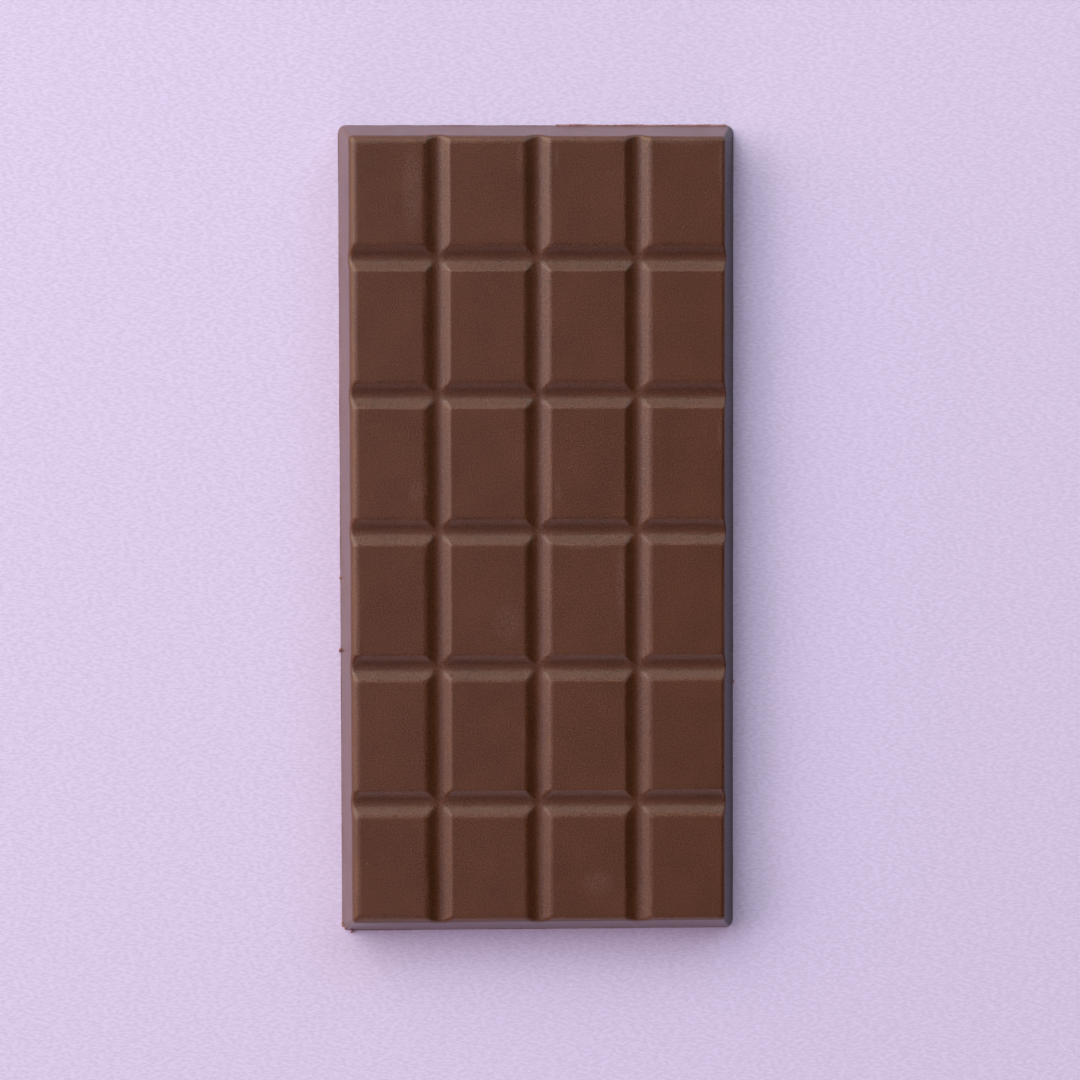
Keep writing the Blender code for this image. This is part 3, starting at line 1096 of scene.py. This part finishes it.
# %% [markdown]
# ## Crumbs and burrs
#
# A few crumbs cling to the foot of the bar, and a small heap of them lies at its near
# left corner. One tree makes them all: it puts a rough lump on every point of a
# small mesh of points, turned and sized at random. The lumps are icospheres of eighty
# faces, pushed in and out by noise.

# %% Node tree: crumbs
BURRS_MM = [(-38.5, -9.3), (-38.55, -23.5), (38.5, -30.0), (-36.6, -78.9), (-38.2, -76.9)]
HEAP_MIDDLE_MM, HEAP_REACH_MM = (-37.6, -77.8), 0.9
HEAP_CRUMBS = 12


def crumb_points():
    """The burrs' own places, and a small heap scattered at the near left corner."""
    random = np.random.default_rng(4)
    heap = random.normal(HEAP_MIDDLE_MM, HEAP_REACH_MM / 2, (HEAP_CRUMBS, 2))
    places = [(x * MM, y * MM, 0.3 * MM) for x, y in BURRS_MM + heap.tolist()]
    mesh = bpy.data.meshes.new("foot_crumbs")
    mesh.from_pydata(places, [], [])
    piece = bpy.data.objects.new("foot_crumbs", mesh)
    bpy.context.scene.collection.objects.link(piece)
    return piece


def crumb_tree():
    tree, sizes, result = new_tree(
        "Crumbs",
        "GeometryNodeTree",
        [
            ("Geometry", "NodeSocketGeometry", None),
            ("Least Size", "NodeSocketFloat", 0.16 * MM),
            ("Greatest Size", "NodeSocketFloat", 0.42 * MM),
            ("Roughness", "NodeSocketFloat", 0.35),
            ("Fineness", "NodeSocketInt", 2),
            ("Seed", "NodeSocketInt", 5),
            ("Material", "NodeSocketMaterial", None),
        ],
        [("Geometry", "NodeSocketGeometry")],
    )
    lump = add_node(
        tree, "GeometryNodeMeshIcoSphere", Radius=1.0, Subdivisions=sizes["Fineness"]
    )
    size = add_node(
        tree,
        "FunctionNodeRandomValue",
        Min=sizes["Least Size"],
        Max=sizes["Greatest Size"],
        Seed=sizes["Seed"],
    )
    turn = add_node(
        tree, "FunctionNodeRandomValue", {"data_type": "FLOAT_VECTOR"}, Seed=sizes["Seed"]
    )
    join(tree, turn.inputs[1], (2 * math.pi,) * 3)
    lumps = add_node(
        tree,
        "GeometryNodeInstanceOnPoints",
        Points=sizes["Geometry"],
        Instance=lump.outputs["Mesh"],
        Rotation=turn.outputs[0],
        Scale=size.outputs[1],
    )
    real = add_node(tree, "GeometryNodeRealizeInstances", Geometry=lumps.outputs["Instances"])
    normal = tree.nodes.new("GeometryNodeInputNormal").outputs[0]
    push = wander(tree, 0.35 * MM, sizes["Roughness"], 6.0)
    push = maths(tree, "MULTIPLY", push, sizes["Greatest Size"])
    offset = add_node(
        tree, "ShaderNodeVectorMath", {"operation": "SCALE"}, Vector=normal, Scale=push
    )
    rough = add_node(
        tree,
        "GeometryNodeSetPosition",
        Geometry=real.outputs["Geometry"],
        Offset=offset.outputs["Vector"],
    )
    settled = pressed_flat(tree, rough.outputs["Geometry"], 1.0, 0.0)
    dressed = finish_tree(tree, settled, sizes["Material"])
    tree.links.new(dressed, result["Geometry"])
    return tree


crumbs = crumb_tree()
foot_crumbs = bake_tree(crumb_points(), crumbs, Material=broken_chocolate)
keep_piece(foot_crumbs)

# %% [markdown]
# ## Table, lights and camera
#
# The bar lies on a large sheet of pale lavender paper. Paper is never quite plain: a
# fine tooth runs across it at a slant. The mottling pattern reads the object's own
# coordinates and can't be turned, so the tooth has noise of its own.

# %% Table
TABLE_SIZE = 12
TABLE_GAP = 0.05 * MM
LAVENDER = (0.675, 0.632, 0.856, 1)
PALE_LAVENDER = (0.775, 0.726, 0.975, 1)
PAPER_ROUGHNESS = 0.9
TOOTH_SIZE, TOOTH_SLANT, TOOTH_STRETCH = 0.42 * MM, math.radians(38), (0.4, 1, 1)


def paper_material():
    material = bpy.data.materials.new("pale_paper")
    material.use_nodes = True
    tree = material.node_tree
    shader = tree.nodes["Principled BSDF"]
    shader.inputs["Roughness"].default_value = PAPER_ROUGHNESS
    place = tree.nodes.new("ShaderNodeTexCoord").outputs["Object"]
    slanted = add_node(
        tree, "ShaderNodeMapping", Vector=place, Rotation=(0, 0, TOOTH_SLANT), Scale=TOOTH_STRETCH
    )
    noise = noise_at(tree, TOOTH_SIZE, 20.0, 1.0, slanted.outputs["Vector"])
    tooth = ramp(tree, noise, 0.3, 0.7)
    colour = blend(tree, tooth, LAVENDER, PALE_LAVENDER)
    join(tree, shader.inputs["Base Color"], colour)
    return material


def make_table():
    bpy.ops.mesh.primitive_plane_add(size=TABLE_SIZE, location=(0, 0, low.z - TABLE_GAP))
    table = bpy.context.object
    table.name = "table_top"
    table.data.materials.append(paper_material())
    print(f"The table is {TABLE_SIZE} m wide and {TABLE_GAP / MM} mm under the bar")


make_table()

# %% [markdown]
# The light is soft and comes mostly from the far left: one large window-like key
# with a lower warm glow under it, and fills from the far right, the left and near the
# viewer. Weak lights stand higher up. Each light is set by where it stands round the
# bar, how high it stands, how large it is and how bright it looks from the bar. A
# square metre that looks that bright takes pi times as many watts.

# %% Lights
LIGHT_DISTANCE = 2.6


def soft_light(name, around, above, size, brightness):
    """A large soft panel that faces the bar. Its angles are degrees from +X and upwards."""
    turn, rise = math.radians(around), math.radians(above)
    direction = Vector(
        (math.cos(turn) * math.cos(rise), math.sin(turn) * math.cos(rise), math.sin(rise))
    )
    light = bpy.data.lights.new(name, "AREA")
    light.shape = "RECTANGLE"
    light.size, light.size_y = size
    strongest = max(brightness)
    light.energy = math.pi * size[0] * size[1] * strongest
    light.color = [part / strongest for part in brightness]
    panel = bpy.data.objects.new(name, light)
    panel.location = direction * LIGHT_DISTANCE
    panel.rotation_euler = (-direction).to_track_quat("-Z", "Y").to_euler()
    bpy.context.scene.collection.objects.link(panel)


soft_light("key", 135, 27, (3.1, 1.4), (4.95, 4.5, 4.15))
soft_light("low_glow", 148, 6, (4.9, 0.52), (4.4, 2.8, 0.6))
soft_light("far_right_fill", 59, 26, (2.3, 1.3), (2.23, 2.5, 2.65))
soft_light("left_fill", 181, 26, (1.25, 1.3), (3.5, 2.8, 3.1))
soft_light("near_low_fill", 270, 9, (1.67, 0.8), (3.5, 2.5, 2.7))
soft_light("near_high_fill", 270, 41, (1.05, 1.6), (1.2, 0.77, 0.77))
soft_light("high_key", 135, 50, (1.42, 0.73), (3.4, 3.5, 4.2))
soft_light("high_left", 207, 67, (1.86, 0.82), (1.3, 1.15, 1.5))
soft_light("overhead", 0, 90, (1.15, 1.15), (0.72, 0.46, 0.52))

world = bpy.data.worlds.new("studio")
bpy.context.scene.world = world
world.use_nodes = True
world.node_tree.nodes["Background"].inputs["Strength"].default_value = 0
bpy.context.scene.view_settings.view_transform = "Standard"

# %% [markdown]
# The camera looks down almost straight from above through a long lens, so the bar's
# sides show as narrow bands. It's easier to think of the bar as turned under a level
# camera, so the camera takes the inverse of the bar's turn.

# %% Camera
CAMERA_DISTANCE = 0.6
CAMERA_LENS = 102.09
BAR_TURN = [math.radians(angle) for angle in (2.8, 1.968, 0.223)]
BAR_SLIDE = (-0.602 * MM, 2.03 * MM, 0)


def make_camera():
    camera = bpy.data.objects.new("camera", bpy.data.cameras.new("camera"))
    camera.data.lens = CAMERA_LENS
    camera.data.clip_start = 0.01
    bar_before_camera = Matrix.Translation(BAR_SLIDE) @ Euler(BAR_TURN).to_matrix().to_4x4()
    step_back = Matrix.Translation((0, 0, CAMERA_DISTANCE))
    camera.matrix_world = bar_before_camera.inverted() @ step_back
    bpy.context.scene.collection.objects.link(camera)
    bpy.context.scene.camera = camera
    print(f"The camera stands {CAMERA_DISTANCE} m away")


make_camera()
